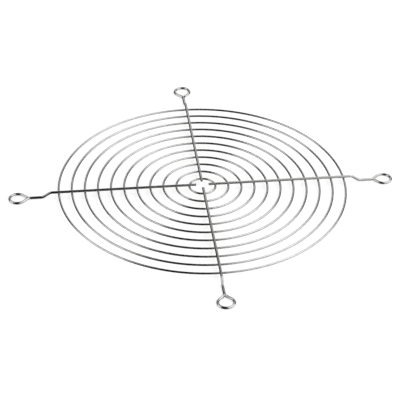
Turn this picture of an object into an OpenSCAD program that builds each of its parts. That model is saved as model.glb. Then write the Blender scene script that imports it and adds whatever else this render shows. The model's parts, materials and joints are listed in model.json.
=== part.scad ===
// Welded wire fan guard: concentric finger-guard rings under four bent spokes.
// Each spoke runs out over the rings, steps down to the fan and ends in an open eye for a screw.
// Origin: centre of the guard, on the face of the fan that the eyes sit on. +Z points away from the fan.

/* [Rings] */
// Distance between the centre lines of neighbouring rings
ring_pitch = 10; // [8:0.5:12]
// Diameter of the ring wire
ring_wire_d = 1.6; // [1.2:0.1:2.2]

/* [Spokes] */
// Diameter of the spoke wire
spoke_wire_d = 2; // [1.6:0.1:2.6]
// Distance between the inner ends of opposite spokes
centre_gap = 9.6; // [6:0.2:11]
// How much thinner the spoke wire gets where a bend stretches it
bend_thinning = 0.02; // [0.01:0.01:0.06]
// How deep each ring is pressed into the spokes by the weld
weld_set_in = 0.1; // [0.05:0.05:0.25]
// Chamfer on the cut ends of the spoke wire
end_chamfer = 0.2; // [0.1:0.05:0.4]

/* [Step down to the fan] */
// From the outermost ring's centre line to where the spoke starts to bend down
step_start = 5; // [2:0.5:8]
// Height from the eyes up to the straight run of the spoke, centre line to centre line
step_drop = 3.9; // [3.4:0.1:6]
// Slope of the step against the flat
step_angle = 33; // [25:1:60]
// Radius of both bends of the step, at the wire's centre line
step_bend_r = 4.5; // [2:0.5:5]

/* [Mounting eyes] */
// Side of the square of fan screws that the four eyes sit over
hole_spacing = 200; // [160:1:260]
// Clear hole inside each eye
eye_bore_d = 10; // [8:0.5:14]
// Angle between the spoke's line and each of the eye's two straight arms
eye_arm_angle = 45; // [35:1:50]
// Radius of the bend where the spoke turns off into the eye, at the wire's centre line
neck_bend_r = 3; // [2.5:0.5:5]
// Gap between the cut end that closes the eye and the arm it points at
neck_gap = 0.3; // [0.1:0.1:1]
// Shortest flat shank to leave between the step and the eye
shank_min = 5; // [2:0.5:10]

/* [Hidden] */
SPOKES = ["spoke_right", "spoke_back", "spoke_left", "spoke_front"];
spoke_turn = 360 / len(SPOKES);
bent_wire_d = spoke_wire_d - bend_thinning;
steel = "#b9bec4";
$fn = 96;

// Heights of the centre lines above the fan's face
eye_z = spoke_wire_d / 2;
spoke_z = eye_z + step_drop;
ring_z = spoke_z - (ring_wire_d + spoke_wire_d) / 2 + weld_set_in;

// Eye: the two arms are tangents of the loop and would meet at its apex, on the spoke's line
eye_centre_r = hole_spacing / sqrt(2);
eye_loop_r = (eye_bore_d + spoke_wire_d) / 2;
eye_wrap_angle = 180 + 2 * eye_arm_angle;
eye_tangent = eye_loop_r / tan(eye_arm_angle);
eye_apex_r = eye_centre_r - eye_loop_r / sin(eye_arm_angle);
neck_tangent = neck_bend_r * tan(eye_arm_angle / 2);
// Cut back from the apex so that no corner of the end face comes nearer than neck_gap to the other arm
arm_cut_back = (spoke_wire_d / 2 * (1 + abs(cos(2 * eye_arm_angle))) + neck_gap) / sin(2 * eye_arm_angle);

// Step: a bend down and an equal bend back, with a straight slope between them
step_tangent = step_bend_r * tan(step_angle / 2);
step_slope = step_drop / sin(step_angle) - 2 * step_tangent;
step_run = step_drop / tan(step_angle) + 2 * step_tangent;

// As many rings as fit between the centre and the steps, and the shank takes up the rest
ring_room = eye_apex_r - neck_tangent - shank_min - step_run - step_start;
ring_count = floor(ring_room / ring_pitch);
outer_ring_r = ring_count * ring_pitch;
step_start_r = outer_ring_r + step_start;
shank = eye_apex_r - neck_tangent - step_start_r - step_run;

function ring_name(n) = str("ring_", n < 10 ? "0" : "", n);

// The spoke is drawn the way a wire bender feeds it: the wire always leaves along +X, each feed or bend
// draws its own stretch, and what follows it is drawn from where that stretch ends.

// A straight stretch of wire, with the seam of its surface turned to the top, away from the rings' seats
module feed(length) {
    rotate([0, 90, 0])
        rotate([0, 0, 180])
            cylinder(d = spoke_wire_d, h = length);
    translate([length, 0, 0])
        children();
}

// A bend to the left, towards +Y
module bend_left(radius, angle) {
    translate([0, radius, 0]) {
        rotate([0, 0, -90])
            rotate_extrude(angle = angle)
                translate([radius, 0])
                    circle(d = bent_wire_d);
        rotate([0, 0, angle])
            translate([0, -radius, 0])
                children();
    }
}

// The same bend made to another side: the bending plane is rolled round the wire and rolled back
module bend_to(roll, radius, angle) {
    rotate([roll, 0, 0])
        bend_left(radius, angle)
            rotate([-roll, 0, 0])
                children();
}

module bend_right(radius, angle) {
    bend_to(180, radius, angle)
        children();
}

module bend_down(radius, angle) {
    bend_to(-90, radius, angle)
        children();
}

module bend_up(radius, angle) {
    bend_to(90, radius, angle)
        children();
}

// A cut end of the wire that narrows backwards from +X, where the wire goes on
module first_end() {
    rotate([0, 90, 0])
        cylinder(d1 = spoke_wire_d - 2 * end_chamfer, d2 = spoke_wire_d, h = end_chamfer);
    translate([end_chamfer, 0, 0])
        children();
}

// A cut end of the wire that narrows towards +X, where the wire stops
module last_end() {
    rotate([0, 90, 0])
        cylinder(d1 = spoke_wire_d, d2 = spoke_wire_d - 2 * end_chamfer, h = end_chamfer);
}

// The S-shaped step from the height of the straight run down to the height of the eye
module step_down() {
    bend_down(step_bend_r, step_angle)
        feed(step_slope)
            bend_up(step_bend_r, step_angle)
                children();
}

// The open eye: out along one arm, round the screw and back along the other arm to the neck
module eye() {
    bend_left(neck_bend_r, eye_arm_angle)
        feed(eye_tangent - neck_tangent)
            bend_right(eye_loop_r, eye_wrap_angle)
                feed(eye_tangent - arm_cut_back - end_chamfer)
                    last_end();
}

// One spoke's wire along +X, from its inner end to the cut end that closes its eye
module bent_wire() {
    inner_end_r = centre_gap / 2;
    translate([inner_end_r, 0, spoke_z])
        first_end()
            feed(step_start_r - inner_end_r - end_chamfer)
                step_down()
                    feed(shank)
                        eye();
}

// Ring number n, counted from the centre: a round wire closed on itself
module ring(n) {
    color(steel)
        translate([0, 0, ring_z])
            rotate_extrude()
                translate([n * ring_pitch, 0])
                    circle(d = ring_wire_d);
}

// Spoke number k, counted to the left from the one along +X, with a seat where each ring is welded under it
module spoke(k) {
    color(steel)
        rotate([0, 0, k * spoke_turn])
            difference() {
                bent_wire();
                for (n = [1:ring_count])
                    ring(n);
            }
}

for (n = [1:ring_count])
    ring(n);
for (k = [0:len(SPOKES) - 1])
    spoke(k);
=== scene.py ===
"""Dresses a welded wire fan guard and sets it in a studio."""

import json
import logging
import math
import random
from dataclasses import dataclass, field
from enum import Enum
from typing import Any

import bpy
from mathutils import Matrix, Vector

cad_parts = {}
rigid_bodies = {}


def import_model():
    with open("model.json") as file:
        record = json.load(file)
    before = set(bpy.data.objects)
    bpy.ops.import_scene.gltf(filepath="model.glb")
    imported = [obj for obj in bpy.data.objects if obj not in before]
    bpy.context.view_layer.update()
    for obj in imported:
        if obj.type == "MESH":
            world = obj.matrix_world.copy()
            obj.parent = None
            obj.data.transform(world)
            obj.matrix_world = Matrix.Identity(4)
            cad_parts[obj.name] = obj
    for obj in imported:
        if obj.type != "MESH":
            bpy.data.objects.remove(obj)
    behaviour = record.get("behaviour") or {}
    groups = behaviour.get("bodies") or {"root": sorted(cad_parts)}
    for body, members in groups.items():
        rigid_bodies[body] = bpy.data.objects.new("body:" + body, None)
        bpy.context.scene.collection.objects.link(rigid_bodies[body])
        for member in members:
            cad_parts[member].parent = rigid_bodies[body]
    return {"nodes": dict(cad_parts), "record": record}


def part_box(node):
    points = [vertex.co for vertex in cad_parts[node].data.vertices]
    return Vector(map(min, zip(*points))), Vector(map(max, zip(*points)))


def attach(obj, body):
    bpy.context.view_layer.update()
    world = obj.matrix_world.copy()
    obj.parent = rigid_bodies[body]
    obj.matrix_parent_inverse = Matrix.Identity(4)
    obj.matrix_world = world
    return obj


for leftover in list(bpy.data.objects):
    bpy.data.objects.remove(leftover)

frame: dict[str, Any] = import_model()
bpy.context.view_layer.update()

LOG: logging.Logger = logging.getLogger("fan_guard")
MM: float = 0.001
BODY: str = "root"

Colour = tuple[float, float, float]
Band = tuple[float, float]


class Slot(Enum):
    """The record's material slots."""

    RING_WIRE = "ring_wire"
    SPOKE_WIRE = "spoke_wire"
    WELD = "weld"


class Side(Enum):
    """The four spokes, with the number of quarter turns to the left from the one along +X."""

    RIGHT = 0
    BACK = 1
    LEFT = 2
    FRONT = 3

    @property
    def label(self) -> str:
        """The side's name as it stands in the names of pieces."""
        return self.name.lower()

    @property
    def node(self) -> str:
        """The name of the spoke's CAD node."""
        return f"spoke_{self.label}"

    @property
    def turn(self) -> float:
        """The angle about Z, in radians, from the +X spoke to this one."""
        return self.value * math.pi / 2

    @property
    def matrix(self) -> Matrix:
        """The turn that carries a spoke drawn along +X to its place."""
        return Matrix.Rotation(self.turn, 4, "Z")


# ---------------------------------------------------------------------------------------------
# Sizes
# ---------------------------------------------------------------------------------------------


def nominal(length: float, step: float = 0.05 * MM) -> float:
    """Rounds a length read off a faceted solid to the drawing's nearest step.

    Args:
        length: The length as read, in metres.
        step: The drawing's step, in metres.

    Returns:
        The rounded length in metres.
    """
    return round(length / step) * step


@dataclass(frozen=True)
class GuardSizes:
    """The guard's sizes in metres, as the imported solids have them.

    Args:
        ring_wire_d: Diameter of the ring wire.
        ring_z: Height of the rings' centre lines.
        ring_radii: Radius of each ring's centre line, from the innermost outwards.
        spoke_wire_d: Diameter of the spoke wire.
        spoke_z: Height of the straight runs' centre lines.
        inner_end_r: Distance from the middle to the cut inner end of each spoke.
        eye_bore_r: Clear radius inside each eye.
        eye_centre_r: Distance from the middle to the centre of each eye.
        eye_arm_angle: Angle between a spoke's line and the arms of its eye.
        neck_gap: Gap between the cut end that closes an eye and the arm it points at.
        end_chamfer: Chamfer on the cut ends of the spoke wire.
    """

    ring_wire_d: float
    ring_z: float
    ring_radii: tuple[float, ...]
    spoke_wire_d: float
    spoke_z: float
    inner_end_r: float
    eye_bore_r: float
    eye_centre_r: float
    eye_arm_angle: float = math.radians(45)
    neck_gap: float = 0.3 * MM
    end_chamfer: float = 0.2 * MM

    @classmethod
    def from_frame(cls) -> "GuardSizes":
        """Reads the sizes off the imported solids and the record.

        Returns:
            The sizes in metres.
        """
        rings = sorted(name for name in frame["nodes"] if name.startswith("ring_"))
        low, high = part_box(rings[0])
        ring_wire_d = nominal(high.z - low.z)
        eye = next(mount for mount in frame["record"]["mounts"] if mount["name"] == "eye_right")
        eye_bore_r = eye["dims"]["r_mm"] * MM
        spoke_low, spoke_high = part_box(Side.RIGHT.node)
        spoke_wire_d = nominal(spoke_high.y - eye_bore_r)
        return cls(
            ring_wire_d=ring_wire_d,
            ring_z=nominal((high.z + low.z) / 2),
            ring_radii=tuple(nominal(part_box(name)[1].x - ring_wire_d / 2) for name in rings),
            spoke_wire_d=spoke_wire_d,
            spoke_z=nominal(spoke_high.z - spoke_wire_d / 2),
            inner_end_r=nominal(spoke_low.x),
            eye_bore_r=eye_bore_r,
            eye_centre_r=eye["pos_m"][0],
        )

    @property
    def ring_r(self) -> float:
        """Radius of the ring wire itself."""
        return self.ring_wire_d / 2

    @property
    def spoke_r(self) -> float:
        """Radius of the spoke wire itself."""
        return self.spoke_wire_d / 2

    @property
    def pitch(self) -> float:
        """Distance between neighbouring rings."""
        return self.ring_radii[1] - self.ring_radii[0]

    @property
    def eye_loop_r(self) -> float:
        """Radius of the eye's bend at the wire's centre line."""
        return self.eye_bore_r + self.spoke_r

    @property
    def eye_apex_r(self) -> float:
        """Distance from the middle to the point where the eye's two arms would meet."""
        return self.eye_centre_r - self.eye_loop_r / math.sin(self.eye_arm_angle)

    @property
    def eye_end(self) -> tuple[Vector, Vector]:
        """Centre of the cut end that closes the +X spoke's eye, and the direction that it faces."""
        opening = 2 * self.eye_arm_angle
        room = self.spoke_r * (1 + abs(math.cos(opening))) + self.neck_gap
        arm = Vector((math.cos(self.eye_arm_angle), -math.sin(self.eye_arm_angle), 0))
        apex = Vector((self.eye_apex_r, 0, self.spoke_r))
        return apex + arm * (room / math.sin(opening)), -arm

    @property
    def inner_end(self) -> tuple[Vector, Vector]:
        """Centre of the +X spoke's cut inner end, and the direction that it faces."""
        return Vector((self.inner_end_r, 0, self.spoke_z)), Vector((-1, 0, 0))


# ---------------------------------------------------------------------------------------------
# Shader maths
# ---------------------------------------------------------------------------------------------


class Socket:
    """A node's output that can be used in arithmetic, which adds Math nodes to its graph.

    Args:
        graph: The graph that the socket's node is in.
        link: The Blender socket.
    """

    def __init__(self, graph: "Graph", link: bpy.types.NodeSocket) -> None:
        """Wraps one output socket."""
        self.graph = graph
        self.link = link

    def of(self, output: str) -> "Socket":
        """Another output of the same node, by its name."""
        return Socket(self.graph, self.link.node.outputs[output])

    def math(self, operation: str, *others: Any) -> "Socket":
        """This value through a Math node with up to two more values."""
        return self.graph.math(operation, self, *others)

    def __add__(self, other: Any) -> "Socket":
        """Sum."""
        return self.math("ADD", other)

    __radd__ = __add__

    def __mul__(self, other: Any) -> "Socket":
        """Product."""
        return self.math("MULTIPLY", other)

    __rmul__ = __mul__

    def __sub__(self, other: Any) -> "Socket":
        """Difference."""
        return self.math("SUBTRACT", other)

    def __rsub__(self, other: Any) -> "Socket":
        """Difference with this value taken away."""
        return self.graph.math("SUBTRACT", other, self)

    def __truediv__(self, other: Any) -> "Socket":
        """Quotient."""
        return self.math("DIVIDE", other)

    def __abs__(self) -> "Socket":
        """Size without its sign."""
        return self.math("ABSOLUTE")


class Graph:
    """The node tree of one material or of the world.

    Args:
        owner: The material or world whose tree is built from nothing.
    """

    def __init__(self, owner: Any) -> None:
        """Empties the owner's tree."""
        owner.use_nodes = True
        self.tree = owner.node_tree
        self.tree.nodes.clear()

    def add(
        self, kind: str, settings: dict[str, Any], inputs: dict[Any, Any], output: Any = 0
    ) -> Socket:
        """Adds one node.

        Args:
            kind: The node's type, without the leading ShaderNode.
            settings: Attributes that are set before the inputs, such as a Math node's operation.
            inputs: Values, colours or sockets by the input's name, identifier or number.
            output: The name or number of the output to return.

        Returns:
            The chosen output.
        """
        node = self.tree.nodes.new(f"ShaderNode{kind}")
        for name, value in settings.items():
            setattr(node, name, value)
        for key, value in inputs.items():
            socket = self._input(node, key)
            if isinstance(value, Socket):
                self.tree.links.new(value.link, socket)
            elif isinstance(value, tuple) and len(value) < len(socket.default_value):
                socket.default_value = (*value, 1.0)
            else:
                socket.default_value = value
        return Socket(self, (node.outputs or node.inputs)[output])

    @staticmethod
    def _input(node: bpy.types.Node, key: Any) -> bpy.types.NodeSocket:
        """A node's input by number, identifier or name."""
        if isinstance(key, int):
            return node.inputs[key]
        return next((s for s in node.inputs if s.identifier == key), None) or node.inputs[key]

    def math(self, operation: str, *values: Any) -> Socket:
        """A Math node on values or sockets."""
        return self.add("Math", {"operation": operation}, dict(enumerate(values)))

    def clamp(self, value: Socket) -> Socket:
        """A value held between 0 and 1."""
        return self.add("Clamp", {}, {"Value": value})

    def step(self, value: Socket, low: float, high: float) -> Socket:
        """A smooth step from 0 at low to 1 at high."""
        return self.add(
            "MapRange",
            {"interpolation_type": "SMOOTHSTEP"},
            {"Value": value, "From Min": low, "From Max": high, "To Min": 0.0, "To Max": 1.0},
        )

    def vector(self, x: Any, y: Any, z: Any) -> Socket:
        """A vector made of three values."""
        return self.add("CombineXYZ", {}, {"X": x, "Y": y, "Z": z})

    def mix_colour(self, factor: Any, first: Any, second: Any) -> Socket:
        """A colour between two, the second where the factor is 1."""
        inputs = {"Factor_Float": factor, "A_Color": first, "B_Color": second}
        return self.add("Mix", {"data_type": "RGBA"}, inputs, 2)

    def mix_vector(self, factor: Any, first: Any, second: Any) -> Socket:
        """A vector between two, the second where the factor is 1."""
        inputs = {"Factor_Float": factor, "A_Vector": first, "B_Vector": second}
        return self.add("Mix", {"data_type": "VECTOR"}, inputs, 1)

    def noise(self, place: Socket, scale: float, detail: float) -> Socket:
        """A noise value between 0 and 1.

        Args:
            place: The coordinates.
            scale: Cells per unit of the coordinates.
            detail: Number of finer layers.

        Returns:
            The noise value.
        """
        return self.add("TexNoise", {}, {"Vector": place, "Scale": scale, "Detail": detail})

    def finish(self, surface: Socket, kind: str = "Material") -> None:
        """Links a shader to the tree's output."""
        self.add(f"Output{kind}", {}, {"Surface": surface})


# ---------------------------------------------------------------------------------------------
# Finishes
# ---------------------------------------------------------------------------------------------


@dataclass(frozen=True)
class WirePlace:
    """Where a point lies on its wire, as shader values in metres.

    Args:
        along: Distance along the wire.
        across: Offset from the centre line, level with the floor.
        height: Offset from the centre line, upwards.
        weld_gap: Distance along the wire to the nearest weld.
    """

    along: Socket
    across: Socket
    height: Socket
    weld_gap: Socket


@dataclass(frozen=True)
class PlatedWire:
    """Bright plating over drawn steel wire, with the die's fine lines and halos at the welds.

    Args:
        sizes: The guard's sizes.
        bright: Colour of the clean plating.
        dull: Colour of the plating in the grooves and the cloudy patches.
        roughness: Roughness of the clean plating.
        groove_roughness: How much rougher the deepest grooves are.
        cloud_roughness: How much rougher the cloudiest patches are.
        halo_roughness: How much rougher the plating is right beside a weld.
        groove_width: Width of the die's lines.
        groove_length: Length of the die's lines.
        groove_depth: Height of the bump that the lines make.
        cloud_size: Size of the cloudy patches.
        pit_size: Size of the plating's pits.
        halo_reach: How far the duller halo spreads from a weld.
        halo_core: Share of that reach over which the halo is at its dullest.
        groove_tint: Share of the dull colour in the deepest grooves.
        cloud_tint: Share of the dull colour in the cloudiest patches.
        halo_tint: Share of the dull colour right beside a weld.
        groove_tint_band: Noise values between which the grooves take on their colour.
        cloud_tint_band: Noise values between which the patches take on their colour.
        groove_rough_band: Noise values between which the grooves grow rougher.
        cloud_rough_band: Noise values between which the patches grow rougher.
        pit_band: Noise values between which a pit sinks in.
        pit_relief: Height of a pit's floor, as a share of the grooves' height.
    """

    sizes: GuardSizes
    bright: Colour = (0.80, 0.80, 0.79)
    dull: Colour = (0.60, 0.60, 0.59)
    roughness: float = 0.13
    groove_roughness: float = 0.10
    cloud_roughness: float = 0.08
    halo_roughness: float = 0.14
    groove_width: float = 0.09 * MM
    groove_length: float = 14.0 * MM
    groove_depth: float = 0.0015 * MM
    cloud_size: float = 5.0 * MM
    pit_size: float = 0.16 * MM
    halo_reach: float = 2.6 * MM
    halo_core: float = 0.4
    groove_tint: float = 0.55
    cloud_tint: float = 0.35
    halo_tint: float = 0.35
    groove_tint_band: Band = (0.42, 0.72)
    cloud_tint_band: Band = (0.45, 0.75)
    groove_rough_band: Band = (0.40, 0.75)
    cloud_rough_band: Band = (0.40, 0.70)
    pit_band: Band = (0.60, 0.72)
    pit_relief: float = -0.35

    @property
    def name(self) -> str:
        """The material's name."""
        return "plated_wire"

    def place(self, graph: Graph, point: Socket) -> WirePlace:
        """Where a point lies on its wire.

        Args:
            graph: The material's graph.
            point: The point in the guard's frame.

        Returns:
            The place along and across the wire.
        """
        raise NotImplementedError

    def build(self) -> bpy.types.Material:
        """Makes the material."""
        material = bpy.data.materials.new(self.name)
        graph = Graph(material)
        point = graph.add("TexCoord", {}, {}, "Object")
        spot = self.place(graph, point)
        grooves = graph.noise(
            graph.vector(
                spot.across / self.groove_width,
                spot.height / self.groove_width,
                spot.along / self.groove_length,
            ),
            scale=1.0,
            detail=3.0,
        )
        clouds = graph.noise(point, scale=1 / self.cloud_size, detail=3.0)
        pits = graph.noise(point, scale=1 / self.pit_size, detail=1.0)
        halo = 1 - graph.step(spot.weld_gap, self.halo_core * self.halo_reach, self.halo_reach)
        worn = graph.clamp(
            graph.step(grooves, *self.groove_tint_band) * self.groove_tint
            + graph.step(clouds, *self.cloud_tint_band) * self.cloud_tint
            + halo * self.halo_tint
        )
        colour = graph.mix_colour(worn, self.bright, self.dull)
        roughness = graph.clamp(
            self.roughness
            + graph.step(grooves, *self.groove_rough_band) * self.groove_roughness
            + graph.step(clouds, *self.cloud_rough_band) * self.cloud_roughness
            + halo * self.halo_roughness
        )
        relief = grooves + graph.step(pits, *self.pit_band) * self.pit_relief
        bump = graph.add(
            "Bump", {}, {"Height": relief, "Strength": 1.0, "Distance": self.groove_depth}
        )
        shader = graph.add(
            "BsdfPrincipled",
            {},
            {"Base Color": colour, "Metallic": 1.0, "Roughness": roughness, "Normal": bump},
        )
        graph.finish(shader)
        return material


@dataclass(frozen=True)
class RingPlating(PlatedWire):
    """The plating on the rings, whose wire runs round the guard's middle."""

    @property
    def name(self) -> str:
        """The material's name."""
        return "ring_plating"

    def place(self, graph: Graph, point: Socket) -> WirePlace:
        """Where a point lies on the nearest ring."""
        split = graph.add("SeparateXYZ", {}, {"Vector": point}, "X")
        x, y, z = split, split.of("Y"), split.of("Z")
        radius = (x * x + y * y).math("SQRT")
        lane = radius / self.sizes.pitch
        return WirePlace(
            along=y.math("ARCTAN2", x) * radius,
            across=(lane - lane.math("ROUND")) * self.sizes.pitch,
            height=z - self.sizes.ring_z,
            weld_gap=abs(x).math("MINIMUM", abs(y)),
        )


@dataclass(frozen=True)
class SpokePlating(PlatedWire):
    """The plating on one spoke, whose wire runs straight, steps down and goes round its eye.

    Args:
        side: The spoke.
        step_start: From the outermost ring to where the step starts.
        step_run: Length of the step along the spoke.
        halo_low: How far under the centre line the halo starts to fade, in wire radii.
        halo_high: How far over the centre line it has faded out, in wire radii.
    """

    side: Side = Side.RIGHT
    step_start: float = 5.0 * MM
    step_run: float = 8.7 * MM
    halo_low: float = 0.3
    halo_high: float = 0.5

    @property
    def name(self) -> str:
        """The material's name."""
        return f"spoke_plating_{self.side.label}"

    def place(self, graph: Graph, point: Socket) -> WirePlace:
        """Where a point lies on the spoke's wire, from its inner end to the end of its eye."""
        sizes = self.sizes
        turned = graph.add(
            "VectorRotate", {"rotation_type": "Z_AXIS"}, {"Vector": point, "Angle": -self.side.turn}
        )
        split = graph.add("SeparateXYZ", {}, {"Vector": turned}, "X")
        x, y, z = split, split.of("Y"), split.of("Z")
        step_start = sizes.ring_radii[-1] + self.step_start
        lowered = graph.step(x, step_start, step_start + self.step_run)
        centre_z = sizes.spoke_z - lowered * (sizes.spoke_z - sizes.spoke_r)
        straight = graph.vector(x, y, 0.0)
        sine, cosine = math.sin(sizes.eye_arm_angle), math.cos(sizes.eye_arm_angle)
        past_apex = x - sizes.eye_apex_r
        aside = abs(y)
        arm = graph.vector(
            past_apex * cosine + aside * sine, aside * cosine - past_apex * sine, 0.0
        )
        out = x - sizes.eye_centre_r
        from_eye = (out * out + y * y).math("SQRT")
        loop = graph.vector(
            y.math("ARCTAN2", out) * sizes.eye_loop_r, from_eye - sizes.eye_loop_r, 0.0
        )
        tangent_r = sizes.eye_centre_r - sizes.eye_loop_r * sine
        lane = x / sizes.pitch
        on_rings = 1 - graph.step(x, sizes.ring_radii[-1] + sizes.spoke_r, step_start)
        laid = graph.mix_vector(x.math("GREATER_THAN", sizes.eye_apex_r), straight, arm)
        laid = graph.mix_vector(x.math("GREATER_THAN", tangent_r), laid, loop)
        flat = graph.add("SeparateXYZ", {}, {"Vector": laid}, "X")
        underside = 1 - graph.step(
            z,
            sizes.spoke_z - self.halo_low * sizes.spoke_r,
            sizes.spoke_z + self.halo_high * sizes.spoke_r,
        )
        near_ring = abs(lane - lane.math("ROUND")) * sizes.pitch
        return WirePlace(
            along=flat,
            across=flat.of("Y"),
            height=z - centre_z,
            weld_gap=near_ring + (1 - on_rings * underside) * self.halo_reach,
        )


@dataclass(frozen=True)
class GrainyMetal:
    """Metal that is duller and more uneven than the wire: weld metal, or a sheared end.

    Args:
        name: The material's name.
        bright: Colour of the high spots.
        dull: Colour of the low spots.
        roughness: Roughness of the smoothest spots.
        unevenness: How much rougher the dullest spots are.
        grain: Size of the grain.
        relief: Height of the bump.
        coarseness: Size of the larger grain, as a multiple of the grain.
        fine_relief: Height of the grain, as a share of the larger grain's.
        worn_band: Noise values between which the metal turns dull.
    """

    name: str
    bright: Colour
    dull: Colour
    roughness: float
    unevenness: float
    grain: float
    relief: float
    coarseness: float = 4.0
    fine_relief: float = 0.4
    worn_band: Band = (0.40, 0.62)

    def build(self) -> bpy.types.Material:
        """Makes the material."""
        material = bpy.data.materials.new(self.name)
        graph = Graph(material)
        point = graph.add("TexCoord", {}, {}, "Object")
        coarse = graph.noise(point, scale=1 / (self.coarseness * self.grain), detail=2.0)
        fine = graph.noise(point, scale=1 / self.grain, detail=3.0)
        worn = graph.step(coarse * 0.5 + fine * 0.5, *self.worn_band)
        height = coarse + fine * self.fine_relief
        bump = graph.add(
            "Bump", {}, {"Height": height, "Strength": 1.0, "Distance": self.relief}
        )
        shader = graph.add(
            "BsdfPrincipled",
            {},
            {
                "Base Color": graph.mix_colour(worn, self.bright, self.dull),
                "Metallic": 1.0,
                "Roughness": self.roughness + worn * self.unevenness,
                "Normal": bump,
            },
        )
        graph.finish(shader)
        return material


WELD_METAL: GrainyMetal = GrainyMetal(
    name="weld_metal",
    bright=(0.74, 0.74, 0.73),
    dull=(0.42, 0.42, 0.41),
    roughness=0.24,
    unevenness=0.22,
    grain=0.12 * MM,
    relief=0.02 * MM,
)
SHEARED_METAL: GrainyMetal = GrainyMetal(
    name="sheared_metal",
    bright=(0.70, 0.70, 0.69),
    dull=(0.38, 0.38, 0.37),
    roughness=0.28,
    unevenness=0.30,
    grain=0.08 * MM,
    relief=0.02 * MM,
)


# ---------------------------------------------------------------------------------------------
# Meshes
# ---------------------------------------------------------------------------------------------


@dataclass
class Loft:
    """A closed mesh drawn through loops of points, to which further closed skins can be added.

    Args:
        points: The mesh's points so far.
        faces: The mesh's faces so far, as point numbers.
    """

    points: list[Vector] = field(default_factory=list)
    faces: list[tuple[int, ...]] = field(default_factory=list)

    def skin(self, loops: list[list[Vector]]) -> None:
        """Joins loops of equally many points one after another, and closes the first and the last.

        Args:
            loops: The loops, each counter-clockwise seen from the next one's side.
        """
        start, around = len(self.points), len(loops[0])
        for loop in loops:
            self.points.extend(loop)
        for row in range(len(loops) - 1):
            low, high = start + row * around, start + (row + 1) * around
            for number in range(around):
                following = (number + 1) % around
                self.faces.append((low + number, low + following, high + following, high + number))
        for first, backwards in ((start, True), (start + (len(loops) - 1) * around, False)):
            loop = self.points[first : first + around]
            self.points.append(sum(loop, Vector()) / around)
            middle = len(self.points) - 1
            for number in range(around):
                edge = (first + number, first + (number + 1) % around)
                self.faces.append((*(reversed(edge) if backwards else edge), middle))

    def piece(
        self, name: str, material: bpy.types.Material, slot: Slot, matrix: Matrix
    ) -> bpy.types.Object:
        """Makes the mesh an object that rides on the guard.

        Args:
            name: The piece's name.
            material: Its material.
            slot: A slot of the record, which is only written to the log.
            matrix: Carries the mesh to its place.

        Returns:
            The object.
        """
        mesh = bpy.data.meshes.new(name)
        mesh.from_pydata([matrix @ point for point in self.points], [], self.faces)
        mesh.polygons.foreach_set("use_smooth", [True] * len(mesh.polygons))
        mesh.materials.append(material)
        mesh.validate()
        mesh.update()
        piece = bpy.data.objects.new(name, mesh)
        bpy.context.scene.collection.objects.link(piece)
        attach(piece, BODY)
        LOG.info("%s: %d faces, slot %s", name, len(mesh.polygons), slot.value)
        return piece


def ring_loop(
    centre: Vector, first: Vector, second: Vector, radius: float, around: int
) -> list[Vector]:
    """A circle of points.

    Args:
        centre: The circle's centre.
        first: Unit direction of its first point.
        second: Unit direction a quarter turn on.
        radius: The circle's radius.
        around: Number of points.

    Returns:
        The points in order.
    """
    angles = [2 * math.pi * number / around for number in range(around)]
    return [centre + (first * math.cos(a) + second * math.sin(a)) * radius for a in angles]


# ---------------------------------------------------------------------------------------------
# Sub-assemblies
# ---------------------------------------------------------------------------------------------


@dataclass
class Rings:
    """The finger-guard rings, with the upset joint where each wire was closed on itself.

    Args:
        sizes: The guard's sizes.
        joint_height: How far a joint's collar stands proud of the wire.
        joint_sink: How deep the collar's ends lie inside the wire, as a share of its height.
        joint_width: Half width of the collar.
        joint_reach: Half length of the piece, whose ends lie inside the wire.
        joint_offset: Distance along the ring from the nearest spoke's line to the joint.
        stations: Number of loops along a joint.
        around: Number of points round the wire.
    """

    sizes: GuardSizes
    joint_height: float = 0.06 * MM
    joint_sink: float = 0.25
    joint_width: float = 0.35 * MM
    joint_reach: float = 1.1 * MM
    joint_offset: float = 3.4 * MM
    stations: int = 13
    around: int = 24

    def dress(self) -> None:
        """Gives every ring its plating."""
        plating = RingPlating(self.sizes).build()
        for name in sorted(frame["nodes"]):
            if name.startswith("ring_"):
                frame["nodes"][name].material_slots[0].material = plating
                LOG.info("%s: %s", name, plating.name)

    def joint(self, radius: float) -> Loft:
        """One joint's collar on the ring of a radius, as it stands just past the +X spoke.

        Args:
            radius: The ring's radius.

        Returns:
            The mesh.
        """
        loft, loops = Loft(), []
        for number in range(self.stations):
            offset = self.joint_reach * (2 * number / (self.stations - 1) - 1)
            hump = math.exp(-((offset / self.joint_width) ** 2))
            proud = self.joint_height * ((1 + self.joint_sink) * hump - self.joint_sink)
            angle = (self.joint_offset + offset) / radius
            outwards = Vector((math.cos(angle), math.sin(angle), 0))
            centre = outwards * radius + Vector((0, 0, self.sizes.ring_z))
            wide = self.sizes.ring_r + proud
            loops.append(ring_loop(centre, Vector((0, 0, 1)), outwards, wide, self.around))
        loft.skin(loops)
        return loft

    def build(self) -> None:
        """Makes the rings' joints, each beside the next spoke in turn."""
        metal = WELD_METAL.build()
        sides = list(Side)
        for number, radius in enumerate(self.sizes.ring_radii, 1):
            side = sides[number % len(sides)]
            self.joint(radius).piece(f"ring_joint_{number:02d}", metal, Slot.WELD, side.matrix)


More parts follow.
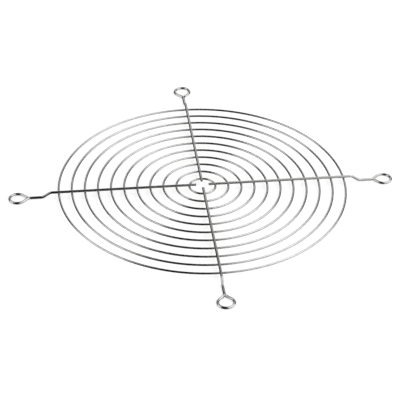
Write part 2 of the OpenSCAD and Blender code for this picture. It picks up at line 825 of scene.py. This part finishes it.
@dataclass
class Welds:
    """The beads of weld metal squeezed out where each ring crosses under a spoke.

    Args:
        sizes: The guard's sizes.
        fill: Gap between the two wires up to which a bead fills it.
        fill_spread: Smallest and largest fill that a bead may have, as shares of the fill.
        bulge: How far a bead swells between the wires, as a share of its reach.
        tuck: How deep a bead's edges lie inside the wires.
        root_tuck: How much deeper its first and last rows lie, as a multiple of the tuck.
        root_share: Radius of those rows, as a share of its reach.
        wobble: How uneven a bead's edge is, as a share of its reach.
        swell_wobble: How uneven its swelling is, as a share of the bulge.
        waves: Number of waves that make up the unevenness.
        rows: Number of rows of points up a bead.
        around: Number of points round a bead.
        halvings: Number of halvings in the search for a bead's edge.
        reach_limit: Longest reach, as a share of the thinner wire's radius.
        seed: Start of the uneven edges' random draws.
    """

    sizes: GuardSizes
    fill: float = 0.34 * MM
    fill_spread: Band = (0.82, 1.15)
    bulge: float = 0.10
    tuck: float = 0.03 * MM
    root_tuck: float = 4.0
    root_share: float = 0.55
    wobble: float = 0.10
    swell_wobble: float = 0.6
    waves: int = 3
    rows: int = 9
    around: int = 32
    halvings: int = 24
    reach_limit: float = 0.95
    seed: int = 7

    def under(self, radius: float, x: float, y: float) -> float:
        """Height of the ring's upper side at a place beside a crossing."""
        off = math.hypot(radius + x, y) - radius
        return self.sizes.ring_z + math.sqrt(max(self.sizes.ring_r**2 - off**2, 0.0))

    def over(self, y: float) -> float:
        """Height of the spoke's lower side at a place beside its line."""
        return self.sizes.spoke_z - math.sqrt(max(self.sizes.spoke_r**2 - y**2, 0.0))

    def reach(self, radius: float, angle: float, fill: float) -> float:
        """How far from a crossing the gap between the wires grows to a given width.

        Args:
            radius: The ring's radius.
            angle: The direction from the crossing, from the spoke's line.
            fill: The gap's width.

        Returns:
            The distance in metres.
        """
        low, high = 0.0, self.reach_limit * min(self.sizes.ring_r, self.sizes.spoke_r)
        for _ in range(self.halvings):
            middle = (low + high) / 2
            x, y = middle * math.cos(angle), middle * math.sin(angle)
            wide = self.over(y) - self.under(radius, x, y) > fill
            low, high = (low, middle) if wide else (middle, high)
        return low

    def bead(self, loft: Loft, radius: float, draw: random.Random) -> None:
        """Adds one bead under the +X spoke.

        Args:
            loft: The mesh that takes the bead.
            radius: The radius of the ring that is welded on.
            draw: The random draws.
        """
        fill = self.fill * draw.uniform(*self.fill_spread)
        phases = [draw.uniform(0, 2 * math.pi) for _ in range(self.waves)]
        rows: list[list[Vector]] = [[] for _ in range(self.rows)]
        root = self.root_tuck * self.tuck
        for number in range(self.around):
            angle = 2 * math.pi * number / self.around
            uneven = sum(math.sin(k * angle + phase) / k for k, phase in enumerate(phases, 2))
            edge = self.reach(radius, angle, fill * (1 + self.wobble * 2 * uneven))
            swell = self.bulge * (1 + self.swell_wobble * uneven)
            aside = Vector((math.cos(angle), math.sin(angle), 0))
            low = self.under(radius, edge * aside.x, edge * aside.y)
            high = self.over(edge * aside.y)
            for row, points in enumerate(rows):
                share = (row - 1) / (len(rows) - 3)
                if row == 0:
                    out, z = self.root_share * edge, low - root
                elif row == len(rows) - 1:
                    out, z = self.root_share * edge, high + root
                else:
                    out = edge * (1 + swell * math.sin(math.pi * share))
                    z = (low - self.tuck) * (1 - share) + (high + self.tuck) * share
                points.append(Vector((radius, 0, z)) + aside * out)
        loft.skin(rows)

    def build(self) -> None:
        """Makes each spoke's beads as one piece."""
        metal = bpy.data.materials.get(WELD_METAL.name) or WELD_METAL.build()
        draw = random.Random(self.seed)
        for side in Side:
            loft = Loft()
            for radius in self.sizes.ring_radii:
                self.bead(loft, radius, draw)
            loft.piece(f"welds_{side.label}", metal, Slot.WELD, side.matrix)


@dataclass
class Spokes:
    """The bent spokes, with the sheared faces at both ends of their wire.

    Args:
        sizes: The guard's sizes.
        dome: How far the middle of a sheared face stands out.
        burr: How far the burr on its lower edge stands out.
        burr_start: Share of the rim's radius from which the burr rises.
        root_depth: How deep the face's first loop lies inside the wire.
        root_share: Radius of that first loop, as a share of the rim's.
        shares: Radius of each further loop, as a share of the rim's.
        around: Number of points round a face.
    """

    sizes: GuardSizes
    dome: float = 0.05 * MM
    burr: float = 0.07 * MM
    burr_start: float = 0.75
    root_depth: float = 0.08 * MM
    root_share: float = 0.97
    shares: tuple[float, ...] = (0.99, 0.93, 0.80, 0.55, 0.25)
    around: int = 32

    def dress(self) -> None:
        """Gives every spoke its plating."""
        for side in Side:
            plating = SpokePlating(self.sizes, side=side).build()
            frame["nodes"][side.node].material_slots[0].material = plating
            LOG.info("%s: %s", side.node, plating.name)

    def face(self, centre: Vector, facing: Vector) -> Loft:
        """One sheared face.

        Args:
            centre: The centre of the wire's cut end.
            facing: The direction that the end faces.

        Returns:
            The mesh.
        """
        up = Vector((0, 0, 1))
        aside = up.cross(facing)
        rim = self.sizes.spoke_r - self.sizes.end_chamfer
        root = ring_loop(centre, aside, up, rim * self.root_share, self.around)
        loops = [[point - facing * self.root_depth for point in root]]
        for share in self.shares:
            lifted = []
            for point in ring_loop(centre, aside, up, rim * share, self.around):
                lower = max(0.0, (centre - point).z / rim)
                edge = max(0.0, share - self.burr_start) / (1 - self.burr_start)
                lip = self.burr * lower**2 * edge
                lifted.append(point + facing * (self.dome * (1 - share**2) + lip))
            loops.append(lifted)
        loft = Loft()
        loft.skin(loops)
        return loft

    def build(self) -> None:
        """Makes the sheared faces of every spoke."""
        metal = SHEARED_METAL.build()
        for side in Side:
            for end, place in (("inner", self.sizes.inner_end), ("eye", self.sizes.eye_end)):
                self.face(*place).piece(
                    f"cut_{end}_{side.label}", metal, Slot.SPOKE_WIRE, side.matrix
                )


# ---------------------------------------------------------------------------------------------
# Studio
# ---------------------------------------------------------------------------------------------


@dataclass(frozen=True)
class Softbox:
    """A soft lamp with an even face.

    Args:
        name: The lamp's name.
        centre: The middle of its face, in metres from the guard's middle.
        facing: The direction that it shines in.
        width: Width in metres, along X overhead or along the floor on a wall.
        height: Height in metres on a wall, or depth along Y overhead.
        brightness: Radiance of its face.
    """

    name: str
    centre: tuple[float, float, float]
    facing: tuple[float, float, float]
    width: float
    height: float
    brightness: float

    def build(self) -> None:
        """Makes the lamp, with the energy that gives its face the stated radiance."""
        lamp = bpy.data.lights.new(self.name, "AREA")
        lamp.shape = "RECTANGLE"
        lamp.size, lamp.size_y = self.width, self.height
        lamp.energy = self.brightness * math.pi * self.width * self.height
        holder = bpy.data.objects.new(self.name, lamp)
        holder.location = self.centre
        holder.rotation_mode = "QUATERNION"
        holder.rotation_quaternion = Vector(self.facing).to_track_quat("-Z", "Y")
        holder.visible_camera = False
        bpy.context.scene.collection.objects.link(holder)
        LOG.info("%s: lamp", self.name)


@dataclass(frozen=True)
class CameraStand:
    """The camera's place and aim.

    Args:
        target: The point that the camera's place is measured from.
        azimuth: Turn of the camera about Z from -Y, in degrees, counter-clockwise from above.
        elevation: Height above the floor, in degrees.
        distance: Distance from the target, in metres.
        lens: Focal length in millimetres.
        sensor: Width of the sensor in millimetres.
        clip: Nearest and farthest distance that is seen, in metres.
        yaw: Turn of the aim off the target, in degrees.
        pitch: Tilt of the aim off the target, in degrees.
        roll: Roll about the line of sight, in degrees.
    """

    target: Vector
    azimuth: float = -7.5
    elevation: float = 34.73
    distance: float = 1.3758
    lens: float = 161.27
    sensor: float = 36.0
    clip: Band = (0.1, 100.0)
    yaw: float = -0.0671
    pitch: float = 0.4459
    roll: float = -1.1449

    def build(self) -> None:
        """Makes the camera the scene's own."""
        rise = math.radians(self.elevation)
        right = Vector((1, 0, 0))
        up = Vector((0, math.sin(rise), math.cos(rise)))
        back = Vector((0, -math.cos(rise), math.sin(rise)))
        level = Matrix((right, up, back))
        aim = (
            Matrix.Rotation(math.radians(self.roll), 3, "Z")
            @ Matrix.Rotation(math.radians(self.pitch), 3, "X")
            @ Matrix.Rotation(math.radians(self.yaw), 3, "Y")
        )
        turn = Matrix.Rotation(math.radians(self.azimuth), 3, "Z")
        data = bpy.data.cameras.new("camera")
        data.lens = self.lens
        data.sensor_width = self.sensor
        data.clip_start, data.clip_end = self.clip
        camera = bpy.data.objects.new("camera", data)
        camera.rotation_mode = "QUATERNION"
        camera.rotation_quaternion = (turn @ (aim @ level).transposed()).to_quaternion()
        camera.location = self.target + turn @ back * self.distance
        bpy.context.scene.collection.objects.link(camera)
        bpy.context.scene.camera = camera
        LOG.info("camera: %s", tuple(round(x, 4) for x in camera.location))


@dataclass
class Studio:
    """A floor under soft lamps, white to the camera and dim in the metal's reflections.

    Args:
        softboxes: The lamps.
        camera: The camera's stand.
        floor_size: Side of the floor, in metres.
        floor_drop: Gap under the guard's eyes that keeps the floor's face apart from theirs.
        floor_colour: Colour of the floor.
        floor_lift: Brightness that the floor adds for the camera.
        floor_mirror: Share of the room's light that the floor passes on to the metal.
        floor_haze: Roughness of the floor as the metal reflects it.
        room: Brightness of the room as the metal reflects it.
    """

    softboxes: tuple[Softbox, ...]
    camera: CameraStand
    floor_size: float = 12.0
    floor_drop: float = 0.05 * MM
    floor_colour: Colour = (0.80, 0.80, 0.80)
    floor_lift: float = 0.70
    floor_mirror: Colour = (0.70, 0.70, 0.70)
    floor_haze: float = 0.25
    room: float = 0.01

    def floor(self) -> None:
        """Makes the floor."""
        half = self.floor_size / 2
        corners = [(-half, -half), (half, -half), (half, half), (-half, half)]
        mesh = bpy.data.meshes.new("floor")
        mesh.from_pydata([(x, y, -self.floor_drop) for x, y in corners], [], [(0, 1, 2, 3)])
        material = bpy.data.materials.new("floor_paper")
        graph = Graph(material)
        seen = graph.add("LightPath", {}, {}, "Is Camera Ray")
        mirrored = seen.of("Is Glossy Ray")
        paper = graph.add("BsdfDiffuse", {}, {"Color": self.floor_colour})
        lift = graph.add("Emission", {}, {"Strength": seen * self.floor_lift})
        mirror = graph.add(
            "BsdfGlossy", {}, {"Color": self.floor_mirror, "Roughness": self.floor_haze}
        )
        lit = graph.add("AddShader", {}, {0: paper, 1: lift})
        graph.finish(graph.add("MixShader", {}, {0: mirrored, 1: lit, 2: mirror}))
        mesh.materials.append(material)
        piece = bpy.data.objects.new("floor", mesh)
        bpy.context.scene.collection.objects.link(piece)
        LOG.info("floor: stage")

    def room_light(self) -> None:
        """Makes the room white to the camera and dim to everything else."""
        world = bpy.data.worlds.new("room")
        graph = Graph(world)
        seen = graph.add("LightPath", {}, {}, "Is Camera Ray")
        strength = seen + (1 - seen) * self.room
        graph.finish(graph.add("Background", {}, {"Strength": strength}), "World")
        bpy.context.scene.world = world
        LOG.info("room: world")

    def build(self) -> None:
        """Makes the whole studio."""
        self.floor()
        self.room_light()
        for softbox in self.softboxes:
            softbox.build()
        self.camera.build()
        bpy.context.scene.view_settings.view_transform = "Standard"


SOFTBOXES: tuple[Softbox, ...] = (
    Softbox("ceiling_right", (0.90, -0.30, 1.2), (0.0, 0.0, -1.0), 1.00, 2.00, 1.30),
    Softbox("ceiling_right_back", (0.90, 1.05, 1.2), (0.0, 0.0, -1.0), 1.00, 0.70, 0.70),
    Softbox("ceiling_edge", (0.26, 0.45, 1.2), (0.0, 0.0, -1.0), 0.28, 1.90, 0.60),
    Softbox("ceiling_left", (-0.90, 0.10, 1.2), (0.0, 0.0, -1.0), 0.60, 1.20, 0.90),
    Softbox("ceiling_left_back", (-0.72, 1.05, 1.2), (0.0, 0.0, -1.0), 0.95, 0.70, 0.45),
    Softbox("wall_right", (1.5, -0.10, 0.85), (-1.0, 0.0, 0.0), 1.40, 0.70, 1.20),
    Softbox("wall_right_low", (1.5, -0.10, 0.25), (-1.0, 0.0, 0.0), 1.40, 0.50, 0.80),
    Softbox("wall_right_front", (1.5, -1.15, 0.6), (-1.0, 0.0, 0.0), 0.70, 1.20, 0.80),
    Softbox("wall_left", (-1.5, -0.10, 0.85), (1.0, 0.0, 0.0), 1.40, 0.70, 1.25),
    Softbox("wall_left_low", (-1.5, -0.10, 0.25), (1.0, 0.0, 0.0), 1.40, 0.50, 0.90),
    Softbox("wall_back", (0.30, 1.55, 0.6), (0.0, -1.0, 0.0), 0.80, 1.20, 0.70),
    Softbox("wall_back_left", (-0.35, 1.55, 0.6), (0.0, -1.0, 0.0), 0.50, 1.20, 0.35),
    Softbox("wall_back_right", (1.05, 1.55, 0.6), (0.0, -1.0, 0.0), 0.70, 1.20, 0.25),
    Softbox("wall_front_right", (0.83, -1.55, 0.6), (0.0, 1.0, 0.0), 1.15, 1.20, 0.60),
)


def main() -> None:
    """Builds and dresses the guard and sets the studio."""
    logging.basicConfig(level=logging.INFO, format="%(name)s: %(message)s")
    sizes = GuardSizes.from_frame()
    LOG.info("%s", sizes)
    rings, welds, spokes = Rings(sizes), Welds(sizes), Spokes(sizes)
    rings.dress()
    rings.build()
    spokes.dress()
    spokes.build()
    welds.build()
    Studio(SOFTBOXES, CameraStand(Vector((0, 0, sizes.ring_z)))).build()
    bpy.context.view_layer.update()


if __name__ == "__main__":
    main()
